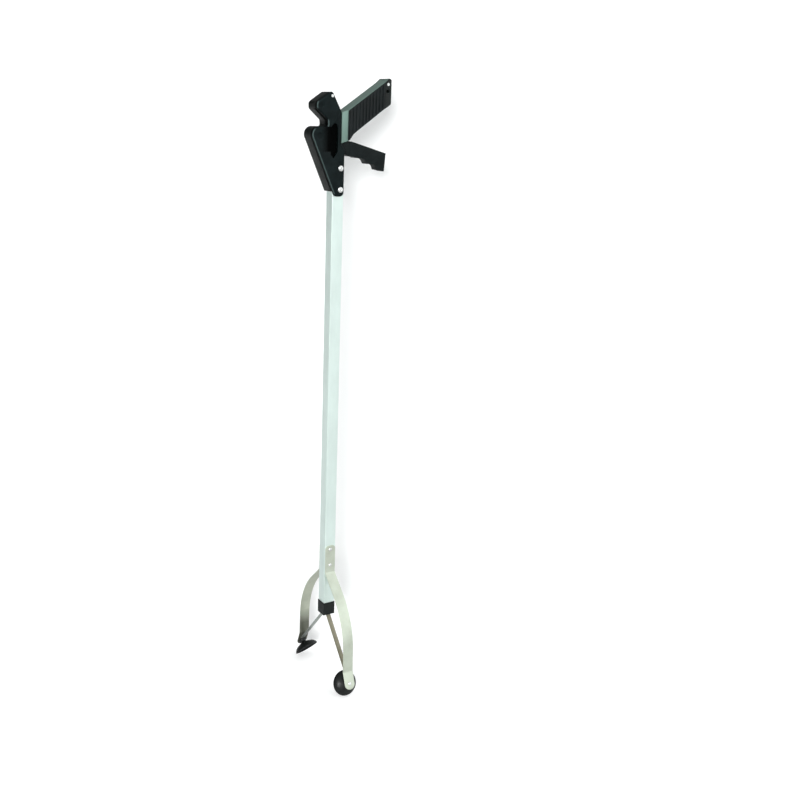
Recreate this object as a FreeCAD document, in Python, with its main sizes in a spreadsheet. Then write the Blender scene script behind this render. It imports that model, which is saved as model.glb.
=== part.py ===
import FreeCAD, Part
import math
import os
import re
import Sketcher

# Reacher grabber: a square aluminium shaft with a pistol grip at the top and two
# spring-steel fingers with suction cups at the bottom.
#
# Frame, in mm: +Z runs up the shaft to the grip, +X points along the grip and the
# trigger, and -Y is the front, the side of the thin cover plate.  The origin is where
# the hand holds the grabber: the middle of the grip's root, on the shaft's axis.
# "out" is the distance from the middle plane Y = 0, toward the front or the rear.

SIZES = {
    # shaft
    "tube_width": 15.9,
    "tube_wall": 1.2,
    "tube_length": 617,
    "tube_top": -36,
    # nose cap on the lower end of the shaft
    "cap_height": 18,
    "cap_wall": 0.8,
    "cap_floor": 3,
    "strap_slot_inner": 3.4,
    "strap_slot_outer": 7.9,
    # spring-steel fingers, measured down from the bend under the tab
    "finger_width": 15,
    "finger_thickness": 1,
    "bend_above_tube_end": 60.5,
    "tab_length": 40,
    "tab_corner": 5,
    "bend_radius": 3,
    "splay": 47,
    "splay_length": 34,
    "bow_radius": 100,
    "shank_lean": 1,
    "shank_length": 30,
    "toe_lean": 22,
    "toe_to_rivet": 16.5,
    "toe_beyond_rivet": 8,
    "flex_point": 8,
    "flex_gap": 0.7,
    "tab_rivet_low": 11,
    "tab_rivet_pitch": 23.2,
    "rivet_shank": 3.2,
    "rivet_head": 5.2,
    "rivet_head_height": 1,
    # pull straps from the fingertips into the nose cap
    "strap_width": 6.5,
    "strap_thickness": 0.7,
    "strap_out": 5,
    "strap_foot_above_rivet": 7,
    "strap_hinge_gap": 0.6,
    "strap_end_gap": 1,
    # suction cups, along their own axis from the finger's inner face
    "cup_diameter": 35,
    "cup_neck": 11,
    "cup_neck_height": 2.4,
    "cup_pivot": 5.4,
    "cup_ball": 3,
    "cup_shoulder": 23,
    "cup_shoulder_height": 7.5,
    "cup_height": 14.2,
    "cup_lip": 1.2,
    "cup_floor": 2.6,
    "cup_rivet_reach": 2,
    "rear_cup_down": 23,
    "rear_cup_aside": 16,
    # pull rod inside the shaft
    "rod_diameter": 4,
    "yoke_above_tube_end": 22,
    "yoke_height": 8,
    "yoke_play": 0.4,
    "guide_height": 8,
    "guide_below_tube_top": 16,
    "rod_play": 0.3,
    "rod_eye": 8,
    "rod_eye_thickness": 3.6,
    "rod_pin_drop": 10,
    "rod_pin": 3,
    # housing: a deep rear shell closed by a front cover plate
    "housing_rear": 12,
    "shell_floor": 4,
    "shell_wall": 2.5,
    "shell_front": 5.5,
    "plate_back": "=tube_width / 2 + 0.05",
    "plate_thickness": 4,
    "plate_right": 6.4,
    "plate_bottom": -79.6,
    "shell_bottom": -73.7,
    "foot_left": -6.3,
    "foot_radius": 5.5,
    "lobe_left": -44.4,
    "lobe_top": 5.2,
    "lobe_radius": 10,
    "notch_right": -17.2,
    "notch_radius": 2.6,
    "neck_left": -17.6,
    "neck_height": 13,
    "neck_radius": 5,
    "head_left": -33.2,
    "head_low": 26.2,
    "head_left_height": 33.9,
    "head_left_radius": 5,
    "head_peak": -12.6,
    "head_peak_height": 48.2,
    "head_peak_radius": 3.6,
    "shoulder": 0.9,
    "shoulder_height": 23.8,
    "shoulder_radius": 4,
    "waist": 0.9,
    "waist_height": -14,
    "hip_height": -22,
    "hip_radius": 2,
    "plate_edge": 1.2,
    "neck_slot_back": 2,
    "scoop_left": -28,
    "scoop_top": 5,
    "scoop_bottom": -25,
    "scoop_depth": 3,
    "window_left": -13.6,
    "window_right": -3.6,
    "window_top": 10,
    "window_bottom": -33,
    "window_floor": 0.6,
    "dimple_radius": 4.2,
    "dimple_depth": 0.7,
    "head_dimple_x": -27.6,
    "head_dimple_height": 30.2,
    "housing_rivet": 4.2,
    "housing_rivet_head": 7.4,
    "housing_rivet_x": 1.4,
    "housing_rivet_low": -71.2,
    "housing_rivet_pitch": 26.3,
    "head_rivet_x": -12.6,
    "head_rivet_height": 41.8,
    "head_rivet": 3,
    # trigger lever
    "pivot_x": -28.5,
    "pivot_height": -6,
    "pivot_pin": 5,
    "pivot_play": 0.05,
    "hub_radius": 6,
    "lever_out": 5.8,
    "finger_part_out": 6.4,
    "finger_part_start": 16,
    "trigger_end": 69.4,
    "trigger_end_top": -25.5,
    "trigger_end_bottom": -48.2,
    "trigger_root_top": -11.4,
    "trigger_heel": -30.4,
    "ridge_one": 43,
    "ridge_one_height": -39.2,
    "ridge_two": 57.5,
    "ridge_two_height": -46.6,
    "ridge_radius": 1.2,
    # grip channel and its cladding
    "grip_out": 11,
    "grip_wall": 1.8,
    "grip_root": 1.9,
    "grip_root_block": 11.5,
    "grip_root_slot": 6.4,
    "grip_root_top": 22.9,
    "grip_knee": 11,
    "grip_knee_top": 25.8,
    "grip_end": 62.4,
    "grip_end_top": 61.6,
    "grip_end_bottom": 28.8,
    "grip_arch": 24.4,
    "grip_arch_bottom": 1.2,
    "grip_throat": 13.3,
    "grip_throat_bottom": -10.6,
    "grip_root_bottom": -14.2,
    "pad_thickness": 1.2,
    "pad_start": 10.8,
    "pad_margin": 0.5,
    "tongue_left": -1,
    "mouth_left": -9.3,
    "tongue_out": 7.8,
    "channel_end": 68,
    "end_cap_flange": 3.2,
    "end_cap_plug": 8,
    "hang_hole": 5,
    "hang_hole_x": 66.2,
    "hang_hole_height": 50.6,
    "end_rivet_x": 66.4,
    "end_rivet_height": 59,
}

doc = FreeCAD.newDocument("reacher_grabber")
sheet = doc.addObject("Spreadsheet::Sheet", "Sizes")
for row, (name, value) in enumerate(SIZES.items(), start=1):
    sheet.set("A%d" % row, name)
    sheet.set("B%d" % row, str(value))
    sheet.setAlias("B%d" % row, name)
doc.recompute()

ORIGIN = FreeCAD.Vector(0, 0, 0)
ACROSS = FreeCAD.Vector(1, 0, 0)
UP = FreeCAD.Vector(0, 0, 1)
SIDES = {"front": 0, "rear": 180}


def size(name):
    """A driving size, read from the sheet."""
    return float(sheet.get(name))


def bound(text):
    """Put the sheet's name before every size that an expression uses."""
    return re.sub("[a-z_]+", lambda word: "Sizes." + word[0] if word[0] in SIZES else word[0], text)


def number(text):
    """The value that a bound expression has now."""
    value = sheet.evalExpression(bound(text))
    return float(getattr(value, "Value", value))


# ---------------------------------------------------------------- sketches

def new_body(name):
    body = doc.addObject("PartDesign::Body", name)
    body.Label = name
    return body


def sketch_on(body, role, name, offset="0"):
    """A sketch on one of the body's origin planes, moved along the plane's normal."""
    sketch = body.newObject("Sketcher::SketchObject", name)
    plane = [item for item in body.Origin.OriginFeatures if item.Role == role][0]
    sketch.AttachmentSupport = [(plane, "")]
    sketch.MapMode = "FlatFace"
    sketch.setExpression(".AttachmentOffset.Base.z", bound(offset))
    return sketch


def bind(sketch, constraint, text):
    index = sketch.addConstraint(constraint)
    sketch.setExpression("Constraints[%d]" % index, bound(text))


def polygon(sketch, corners):
    """A closed outline whose corners are pairs of expressions."""
    points = [FreeCAD.Vector(number(x), number(y), 0) for x, y in corners]
    first = sketch.GeometryCount
    count = len(points)
    for index, point in enumerate(points):
        sketch.addGeometry(Part.LineSegment(point, points[(index + 1) % count]))
    for index, point in enumerate(points):
        line = first + index
        following = first + (index + 1) % count
        sketch.addConstraint(Sketcher.Constraint("Coincident", line, 2, following, 1))
        bind(sketch, Sketcher.Constraint("DistanceX", line, 1, point.x), corners[index][0])
        bind(sketch, Sketcher.Constraint("DistanceY", line, 1, point.y), corners[index][1])


def circle(sketch, x, y, radius):
    centre = FreeCAD.Vector(number(x), number(y), 0)
    line = sketch.addGeometry(Part.Circle(centre, FreeCAD.Vector(0, 0, 1), number(radius)))
    bind(sketch, Sketcher.Constraint("DistanceX", line, 3, centre.x), x)
    bind(sketch, Sketcher.Constraint("DistanceY", line, 3, centre.y), y)
    bind(sketch, Sketcher.Constraint("Radius", line, number(radius)), radius)


def rectangle(sketch, left, right, low, high):
    polygon(sketch, [(left, low), (right, low), (right, high), (left, high)])


def pad(body, sketch, length, midplane=False):
    feature = body.newObject("PartDesign::Pad", sketch.Name + "_pad")
    feature.Profile = sketch
    feature.setExpression("Length", bound(length))
    feature.SideType = "Symmetric" if midplane else "One side"
    doc.recompute()
    return feature


def pocket(body, sketch, length, midplane=False, reverse=False):
    """Cut a sketch out of the body, and make sure that it cuts something."""
    before = body.Shape.Volume
    feature = body.newObject("PartDesign::Pocket", sketch.Name + "_pocket")
    feature.Profile = sketch
    feature.setExpression("Length", bound(length))
    feature.SideType = "Symmetric" if midplane else "One side"
    feature.Reversed = reverse
    doc.recompute()
    if body.Shape.Volume > before - 0.01:
        raise RuntimeError(sketch.Name + " cuts nothing")
    return feature


def round_corners(body, name, corners, radius, plane="XZ"):
    """Round the edges that stand on an outline's corners."""
    base = body.Tip
    picked = []
    for index, edge in enumerate(base.Shape.Edges, start=1):
        ends = [vertex.Point for vertex in edge.Vertexes]
        for x, y in corners:
            flat = (number(x), number(y))
            if all(math.hypot(*(a - b for a, b in zip(in_plane(end, plane), flat))) < 1e-3 for end in ends):
                picked.append("Edge%d" % index)
                break
    if not picked:
        raise RuntimeError("no edges to round for " + name)
    feature = body.newObject("PartDesign::Fillet", name)
    feature.Base = (base, picked)
    feature.setExpression("Radius", bound(radius))
    doc.recompute()
    return feature


def in_plane(point, plane):
    if plane == "XZ":
        return (point.x, point.z)
    return (point.x, point.y)


def soften_face(body, name, depth, out):
    """Chamfer the outer edge of the face that lies at y = -out."""
    base = body.Tip
    level = -number(out)
    faces = []
    for index, face in enumerate(base.Shape.Faces, start=1):
        box = face.BoundBox
        if abs(box.YMin - level) < 1e-4 and abs(box.YMax - level) < 1e-4:
            faces.append("Face%d" % index)
    feature = body.newObject("PartDesign::Chamfer", name)
    feature.Base = (base, faces)
    feature.setExpression("Size", bound(depth))
    doc.recompute()
    return feature


def inset(corners, wall):
    """Expressions for an outline moved inward by a wall, its corners listed clockwise or not."""
    points = [(number(x), number(y)) for x, y in corners]
    count = len(points)
    area = sum(points[i][0] * points[(i + 1) % count][1] - points[(i + 1) % count][0] * points[i][1]
               for i in range(count))
    sign = "" if area > 0 else "-"
    normals = []
    for index in range(count):
        x1, y1 = corners[index]
        x2, y2 = corners[(index + 1) % count]
        run = "sqrt((%s - (%s))^2 + (%s - (%s))^2)" % (x2, x1, y2, y1)
        normals.append(("(%s(%s - (%s)) / %s)" % (sign, y1, y2, run), "(%s(%s - (%s)) / %s)" % (sign, x2, x1, run)))
    moved = []
    for index, (x, y) in enumerate(corners):
        ax, ay = normals[index - 1]
        bx, by = normals[index]
        share = "%s / (1 + %s * %s + %s * %s)" % (wall, ax, bx, ay, by)
        moved.append(("%s + (%s + %s) * %s" % (x, ax, bx, share), "%s + (%s + %s) * %s" % (y, ay, by, share)))
    return moved


# ---------------------------------------------------------------- plain solids

def cylinder(name, radius, length, base, axis="Z"):
    """A cylinder whose base and axis are given in the part's own frame."""
    item = doc.addObject("Part::Cylinder", name)
    item.setExpression("Radius", bound(radius))
    item.setExpression("Height", bound(length))
    turns = {"Z": (UP, 0), "front": (ACROSS, 90), "rear": (ACROSS, -90)}
    item.Placement = FreeCAD.Placement(ORIGIN, FreeCAD.Rotation(*turns[axis]))
    for letter, text in zip("xyz", base):
        item.setExpression(".Placement.Base." + letter, bound(text))
    return item


def box(name, low, high):
    item = doc.addObject("Part::Box", name)
    for prop, a, b in zip(("Length", "Width", "Height"), low, high):
        item.setExpression(prop, bound("(%s) - (%s)" % (b, a)))
    for letter, text in zip("xyz", low):
        item.setExpression(".Placement.Base." + letter, bound(text))
    return item


def fuse(name, items):
    item = doc.addObject("Part::MultiFuse", name)
    item.Shapes = items
    item.Refine = True
    item.Label = name
    return item


def cut(name, base, tool):
    item = doc.addObject("Part::Cut", name)
    item.Base = base
    item.Tool = tool
    item.Label = name
    return item


def group(name, items):
    """Identical fasteners kept together as separate solids."""
    item = doc.addObject("Part::Compound", name)
    item.Links = items
    item.Label = name
    return item


def feature(name, shape, placement=None):
    """A sub-part whose shape needs Part's own functions."""
    item = doc.addObject("Part::Feature", name)
    item.Label = name
    item.Shape = shape
    if placement is not None:
        item.Placement = placement
    return item


def turned(side):
    """Placement that carries a front sub-part to its side."""
    return FreeCAD.Placement(ORIGIN, FreeCAD.Rotation(UP, SIDES[side]))


NODES = []


def keep(item):
    NODES.append(item)
    return item


# ---------------------------------------------------------------- shaft

TUBE_END = "(tube_top - tube_length)"
CAP_END = "(tube_top - tube_length - cap_floor)"


def shaft_tube():
    body = new_body("shaft_tube")
    sketch = sketch_on(body, "XY_Plane", "shaft_section", TUBE_END)
    rectangle(sketch, "-tube_width / 2", "tube_width / 2", "-tube_width / 2", "tube_width / 2")
    inner = "(tube_width / 2 - tube_wall)"
    rectangle(sketch, "-" + inner, inner, "-" + inner, inner)
    pad(body, sketch, "tube_length")
    for index, front in enumerate(("1", "-1")):
        holes = sketch_on(body, "XZ_Plane", "housing_rivet_holes_%d" % index, front + " * tube_width / 2")
        circle(holes, "housing_rivet_x", "housing_rivet_low", "housing_rivet / 2")
        circle(holes, "housing_rivet_x", "housing_rivet_low + housing_rivet_pitch", "housing_rivet / 2")
        circle(holes, "0", TAB_RIVET_LOW, "rivet_shank / 2")
        circle(holes, "0", TAB_RIVET_LOW + " + tab_rivet_pitch", "rivet_shank / 2")
        pocket(body, holes, "tube_wall + 1", reverse=(front == "-1"))
    return keep(body)


def nose_cap():
    body = new_body("nose_cap")
    sketch = sketch_on(body, "XY_Plane", "cap_section", CAP_END)
    half = "(tube_width / 2 + cap_wall)"
    rectangle(sketch, "-" + half, half, "-" + half, half)
    pad(body, sketch, "cap_height")
    corners = [(a + half, b + half) for a in ("-", "") for b in ("-", "")]
    round_corners(body, "cap_corners", corners, "cap_wall", "XY")
    well = sketch_on(body, "XY_Plane", "cap_well", TUBE_END)
    rectangle(well, "-tube_width / 2", "tube_width / 2", "-tube_width / 2", "tube_width / 2")
    pocket(body, well, "cap_height", reverse=True)
    slots = sketch_on(body, "XY_Plane", "cap_slots", CAP_END)
    wide = "(strap_width / 2 + 0.5)"
    rectangle(slots, "-" + wide, wide, "strap_slot_inner", "strap_slot_outer")
    rectangle(slots, "-" + wide, wide, "-strap_slot_outer", "-strap_slot_inner")
    pocket(body, slots, "cap_floor", reverse=True)
    return keep(body)


# ---------------------------------------------------------------- fingers

BEND = "(tube_top - tube_length + bend_above_tube_end)"
TAB_RIVET_LOW = "(tube_top - tube_length + bend_above_tube_end + tab_rivet_low)"


class Path:
    """A line through the finger's plane: out from the middle plane, and height.

    The heading is in degrees from straight down, and grows toward the outside."""

    def __init__(self, out, height, heading):
        self.at = (out, height)
        self.heading = heading
        self.steps = []

    def straight(self, length):
        turn = math.radians(self.heading)
        end = (self.at[0] + length * math.sin(turn), self.at[1] - length * math.cos(turn))
        self.steps.append(("line", self.at, end, self.heading, self.heading, 0))
        self.at = end
        return self

    def bend(self, radius, heading):
        start, stop = math.radians(self.heading), math.radians(heading)
        way = 1 if heading > self.heading else -1
        end = (self.at[0] + way * radius * (math.cos(start) - math.cos(stop)),
               self.at[1] - way * radius * (math.sin(stop) - math.sin(start)))
        self.steps.append(("arc", self.at, end, self.heading, heading, radius))
        self.at = end
        self.heading = heading
        return self

    def edge_point(self, point, heading, shift, x):
        turn = math.radians(heading)
        return FreeCAD.Vector(x, -(point[0] + shift * math.cos(turn)), point[1] + shift * math.sin(turn))

    def side(self, shift, x):
        """The edges of the path moved outward by shift, in the plane at x."""
        edges = []
        for kind, start, end, first, last, radius in self.steps:
            a = self.edge_point(start, first, shift, x)
            b = self.edge_point(end, last, shift, x)
            if kind == "line":
                edges.append(Part.LineSegment(a, b).toShape())
                continue
            half = Path(start[0], start[1], first).bend(radius, (first + last) / 2)
            middle = self.edge_point(half.at, half.heading, shift, x)
            edges.append(Part.Arc(a, middle, b).toShape())
        return edges

    def strip(self, thickness, width):
        """The strip of sheet metal that follows the path, centred on it."""
        outer, inner = self.side(thickness / 2, -width / 2), self.side(-thickness / 2, -width / 2)
        start = Part.LineSegment(inner[0].Vertexes[0].Point, outer[0].Vertexes[0].Point).toShape()
        end = Part.LineSegment(outer[-1].Vertexes[-1].Point, inner[-1].Vertexes[-1].Point).toShape()
        wire = Part.Wire(Part.__sortEdges__(outer + [end] + inner + [start]))
        return Part.Face(wire).extrude(ACROSS * width)


def finger_mid():
    return size("tube_width") / 2 + size("finger_thickness") / 2


def bend_length(radius, turn):
    return radius * math.tan(math.radians(abs(turn)) / 2)


def tab_path():
    setback = bend_length(size("bend_radius"), size("splay"))
    path = Path(finger_mid(), number(BEND) + size("tab_length"), 0)
    path.straight(size("tab_length") - setback)
    path.bend(size("bend_radius"), size("splay"))
    path.straight(size("flex_point") - setback - size("flex_gap"))
    return path


def bend_point():
    return (finger_mid(), number(BEND))


def blade_path():
    turn = math.radians(size("splay"))
    out, height = bend_point()
    start = size("flex_point") + size("flex_gap")
    toe_setback = bend_length(size("bend_radius"), size("toe_lean") - size("shank_lean"))
    path = Path(out + start * math.sin(turn), height - start * math.cos(turn), size("splay"))
    path.straight(size("splay_length") - start)
    path.bend(size("bow_radius"), size("shank_lean"))
    path.straight(size("shank_length") - toe_setback)
    path.bend(size("bend_radius"), size("toe_lean"))
    path.straight(size("toe_to_rivet") - toe_setback)
    return path


def rounded_end(solid, point, radius):
    """Round the two corner edges of a strip that lie nearest to its end point."""
    corners = []
    for edge in solid.Edges:
        middle = edge.CenterOfMass
        if abs(abs(middle.x) - size("finger_width") / 2) < 1e-3 and (middle - point).Length < size("finger_width") * 0.52:
            if edge.Length < size("finger_thickness") * 1.01:
                corners.append(edge)
    return solid.makeFillet(radius, corners)


def drill(solid, point, direction, radius):
    reach = 4 * size("finger_thickness")
    tool = Part.makeCylinder(radius, 2 * reach, point - direction * reach, direction)
    return solid.cut(tool)


def toe():
    """Where the cup's rivet passes the blade, and the cup's axis, which points inward."""
    point = blade_path().at
    lean = math.radians(size("toe_lean"))
    return FreeCAD.Vector(0, -point[0], point[1]), FreeCAD.Vector(0, math.cos(lean), -math.sin(lean))


def finger_tab(side):
    path = tab_path()
    solid = path.strip(size("finger_thickness"), size("finger_width"))
    top = FreeCAD.Vector(0, -finger_mid(), number(BEND) + size("tab_length"))
    solid = rounded_end(solid, top, size("tab_corner"))
    for step in (0, 1):
        height = number(TAB_RIVET_LOW) + step * size("tab_rivet_pitch")
        solid = drill(solid, FreeCAD.Vector(0, -finger_mid(), height), FreeCAD.Vector(0, 1, 0), size("rivet_shank") / 2)
    return keep(feature(side + "_finger_tab", solid, turned(side)))


def finger_blade(side):
    point, axis = toe()
    path = blade_path()
    path.straight(size("toe_beyond_rivet"))
    solid = path.strip(size("finger_thickness"), size("finger_width"))
    end = FreeCAD.Vector(0, -path.at[0], path.at[1])
    solid = rounded_end(solid, end, size("finger_width") * 0.47)
    solid = drill(solid, point, axis, size("rivet_shank") / 2)
    return keep(feature(side + "_finger_blade", solid, turned(side)))


def tab_rivets():
    rivets = []
    for side in SIDES:
        way = -1 if side == "front" else 1
        for step in (0, 1):
            name = "%s_tab_rivet_%d" % (side, step + 1)
            height = TAB_RIVET_LOW + " + %d * tab_rivet_pitch" % step
            inside = "%d * (tube_width / 2 - tube_wall - 0.6)" % way
            face = "%d * (tube_width / 2 + finger_thickness)" % way
            shank = cylinder(name + "_shank", "rivet_shank / 2", "tube_wall + 0.6 + finger_thickness",
                             ("0", inside, height), side)
            head = cylinder(name + "_head", "rivet_head / 2", "rivet_head_height", ("0", face, height), side)
            rivets.append(fuse(name, [shank, head]))
    return keep(group("tab_rivets", rivets))


# ---------------------------------------------------------------- straps

def toe_placement(side, depth=0):
    """Carries a piece built along +Z onto the cup's axis, from the finger's inner face."""
    point, axis = toe()
    base = point + axis * (size("finger_thickness") / 2 + depth)
    turn = FreeCAD.Rotation(ACROSS, -(90 + size("toe_lean")))
    return turned(side).multiply(FreeCAD.Placement(base, turn))


def strap_hinge():
    """The strap's hinge line on the toe, as out and height."""
    point, axis = toe()
    lean = math.radians(size("toe_lean"))
    along = FreeCAD.Vector(0, math.sin(lean), math.cos(lean))
    depth = (size("finger_thickness") + size("strap_thickness")) / 2
    hinge = point + axis * depth + along * size("strap_foot_above_rivet")
    return (-hinge.y, hinge.z)


def slot_point():
    return (size("strap_out"), number(CAP_END))


def strap_heading():
    """Heading from the slot in the nose cap down to the hinge, and the length between."""
    out, height = strap_hinge()
    top_out, top = slot_point()
    return (math.degrees(math.atan2(out - top_out, top - height)), math.hypot(out - top_out, top - height))


def strap_foot(side):
    out, height = strap_hinge()
    path = Path(out, height, size("toe_lean")).straight(size("strap_foot_above_rivet") + size("strap_width") / 2)
    solid = path.strip(size("strap_thickness"), size("strap_width"))
    trim = Path(out, height, size("toe_lean")).straight(size("strap_hinge_gap"))
    solid = solid.cut(trim.strip(4 * size("strap_thickness"), 2 * size("strap_width")))
    point, axis = toe()
    solid = drill(solid, point, axis, size("rivet_shank") / 2)
    return keep(feature(side + "_strap_foot", solid, turned(side)))


def strap_link(side):
    heading, length = strap_heading()
    top_out, top = slot_point()
    extra = 0.5
    turn = math.radians(heading)
    path = Path(top_out - extra * math.sin(turn), top + extra * math.cos(turn), heading)
    path.straight(length + extra - size("strap_hinge_gap"))
    return keep(feature(side + "_strap_link", path.strip(size("strap_thickness"), size("strap_width")), turned(side)))


def upper_strap(side):
    low = number(TUBE_END) + size("strap_end_gap")
    high = number(TUBE_END) + size("yoke_above_tube_end")
    path = Path(size("strap_out"), high, 0).straight(high - low)
    return keep(feature(side + "_upper_strap", path.strip(size("strap_thickness"), size("strap_width")), turned(side)))


# ---------------------------------------------------------------- suction cups

def cup_pivot(side):
    """The middle of the ball that the cup rocks on, inside its neck."""
    return toe_placement(side, size("strap_thickness")).multVec(FreeCAD.Vector(0, 0, size("cup_pivot")))


def cup_rock(side):
    """How the cup sits on its neck: the front one square, the rear one hanging down and aside."""
    if side == "front":
        return FreeCAD.Rotation()
    down = FreeCAD.Rotation(ACROSS, size("rear_cup_down"))
    return FreeCAD.Rotation(UP, size("rear_cup_aside")).multiply(down)


def cup_neck(side):
    body = new_body(side + "_cup_neck")
    sketch = sketch_on(body, "XZ_Plane", side + "_neck_profile")
    polygon(sketch, [
        ("rivet_shank / 2", "0"),
        ("cup_neck / 2", "0"),
        ("cup_neck / 2", "cup_neck_height"),
        ("0", "cup_neck_height"),
        ("0", "cup_rivet_reach"),
        ("rivet_shank / 2", "cup_rivet_reach"),
    ])
    spin(body, sketch, side + "_neck_turned")
    body.Placement = toe_placement(side, size("strap_thickness"))
    return keep(body)


def spin(body, sketch, name):
    turn = body.newObject("PartDesign::Revolution", name)
    turn.Profile = sketch
    turn.ReferenceAxis = (sketch, ["V_Axis"])
    turn.Angle = 360
    doc.recompute()


def suction_cup(side):
    body = new_body(side + "_suction_cup")
    sketch = sketch_on(body, "XZ_Plane", side + "_cup_profile")
    polygon(sketch, [
        ("0", "cup_pivot - cup_ball"),
        ("cup_ball * 0.5", "cup_pivot - cup_ball * 0.866"),
        ("cup_ball * 0.866", "cup_pivot - cup_ball * 0.5"),
        ("cup_ball", "cup_pivot - 0.4"),
        ("cup_neck / 2", "cup_pivot - 0.1"),
        ("cup_shoulder / 2", "cup_shoulder_height"),
        ("cup_diameter / 2", "cup_height - 2 * cup_lip"),
        ("cup_diameter / 2", "cup_height"),
        ("cup_diameter / 2 - cup_lip", "cup_height"),
        ("cup_shoulder / 2 - cup_lip", "cup_shoulder_height + cup_floor"),
        ("cup_shoulder / 4", "cup_pivot + cup_floor"),
        ("0", "cup_pivot + cup_floor"),
    ])
    spin(body, sketch, side + "_cup_turned")
    seat = toe_placement(side, size("strap_thickness"))
    rock = FreeCAD.Placement(ORIGIN, cup_rock(side), cup_pivot(side))
    body.Placement = rock.multiply(seat)
    return keep(body)


def cup_rivet(side):
    """Headed on the outside of the finger; it ends inside the cup's neck."""
    radius = size("rivet_shank") / 2
    back = -size("finger_thickness")
    inside = size("strap_thickness") + size("cup_rivet_reach")
    shank = Part.makeCylinder(radius, inside - back, FreeCAD.Vector(0, 0, back))
    head = Part.makeCylinder(size("rivet_head") / 2, size("rivet_head_height"),
                             FreeCAD.Vector(0, 0, back - size("rivet_head_height")))
    return keep(feature(side + "_cup_rivet", shank.fuse(head).removeSplitter(), toe_placement(side)))


# ---------------------------------------------------------------- pull rod

PIN_HEIGHT = "(pivot_height - rod_pin_drop)"
YOKE_LOW = "(tube_top - tube_length + yoke_above_tube_end)"


def strap_yoke():
    half = "(tube_width / 2 - tube_wall - yoke_play)"
    block = box("yoke_block", ("-" + half, "-" + half, YOKE_LOW),
                (half, half, YOKE_LOW + " + yoke_height"))
    bore = cylinder("yoke_bore", "rod_diameter / 2", "yoke_height / 2", ("0", "0", YOKE_LOW + " + yoke_height / 2"))
    return keep(cut("strap_yoke", block, bore))


def pull_rod():
    low = "(" + YOKE_LOW + " + yoke_height / 2)"
    rod = cylinder("rod_bar", "rod_diameter / 2", "%s - %s - rod_pin / 2" % (PIN_HEIGHT, low), ("0", "0", low))
    eye = cylinder("rod_eye_disc", "rod_eye / 2", "rod_eye_thickness", ("0", "rod_eye_thickness / 2", PIN_HEIGHT), "front")
    hole = cylinder("rod_eye_hole", "rod_pin / 2", "rod_eye_thickness", ("0", "rod_eye_thickness / 2", PIN_HEIGHT), "front")
    return keep(cut("pull_rod", fuse("rod_with_eye", [rod, eye]), hole))


def rod_pin():
    pin = cylinder("rod_pin", "rod_pin / 2", "2 * (lever_out - 0.2)", ("0", "lever_out - 0.2", PIN_HEIGHT), "front")
    pin.Label = "rod_pin"
    return keep(pin)


def rod_guide():
    half = "(tube_width / 2 - tube_wall)"
    low = "(tube_top - guide_below_tube_top - guide_height)"
    block = box("guide_block", ("-" + half, "-" + half, low), (half, half, low + " + guide_height"))
    bore = cylinder("guide_bore", "rod_diameter / 2 + rod_play", "guide_height", ("0", "0", low))
    return keep(cut("rod_guide", block, bore))


# ---------------------------------------------------------------- housing

HOUSING = [
    ("plate_right", "plate_bottom"),
    ("plate_right", "hip_height"),
    ("waist", "waist_height"),
    ("shoulder", "shoulder_height"),
    ("head_peak", "head_peak_height"),
    ("head_left", "head_left_height"),
    ("head_left", "head_low"),
    ("neck_left", "neck_height"),
    ("notch_right", "lobe_top"),
    ("lobe_left", "lobe_top"),
    ("foot_left", "plate_bottom"),
]
SHELL_FOOT = ("foot_left + (lobe_left - foot_left) * (shell_bottom - plate_bottom) / (lobe_top - plate_bottom)",
              "shell_bottom")
SHELL = [("plate_right", "shell_bottom")] + HOUSING[1:10] + [SHELL_FOOT]
ROUNDS = {
    "hip": (1, "hip_radius"),
    "waist": (2, "hip_radius"),
    "shoulder": (3, "shoulder_radius"),
    "head_peak": (4, "head_peak_radius"),
    "head_left": (5, "head_left_radius"),
    "head_low": (6, "head_left_radius"),
    "neck": (7, "neck_radius"),
    "notch": (8, "notch_radius"),
    "lobe": (9, "lobe_radius"),
}


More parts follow.
